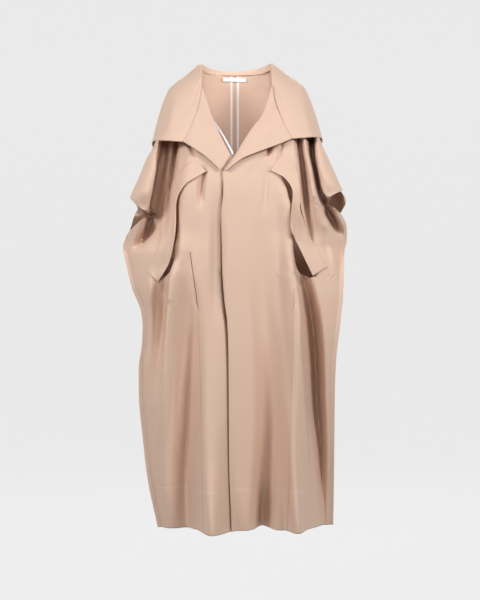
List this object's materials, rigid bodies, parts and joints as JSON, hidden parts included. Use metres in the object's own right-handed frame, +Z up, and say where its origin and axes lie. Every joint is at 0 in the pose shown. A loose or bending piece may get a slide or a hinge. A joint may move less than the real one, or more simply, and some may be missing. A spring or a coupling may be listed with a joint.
{
  "type": "cape coat with wide hood collar",
  "caption": "Long front-opening cape coat in smooth gabardine with a wide cape collar, welted arm slits and open side sleeve mouths, hollow as worn.",
  "frame": {"origin": "in the middle of the neck, level with the wearer's collar bones, where the neck and shoulders hold the coat up", "axes": "+X to the wearer's left (the viewer's right from in front), +Y from the front to the back, +Z up"},
  "size_m": [0.5688, 0.3748, 1.1727],
  "materials": {
    "gabardine": "smooth fine twill gabardine in a pinkish tan, matt with a slight sheen on the folds",
    "white_tape": "white woven binding tape and blank woven label"
  },
  "bodies": {
    "root": {"front_right": "gabardine", "front_left": "gabardine", "back_right": "gabardine", "back_left": "gabardine", "collar": "gabardine", "lapel_right": "gabardine", "lapel_left": "gabardine", "welt_right": "gabardine", "welt_left": "gabardine", "back_seam_tape_right": "white_tape", "back_seam_tape_left": "white_tape", "facing_tape": "white_tape", "neck_label": "white_tape"}
  },
  "joints": []
}
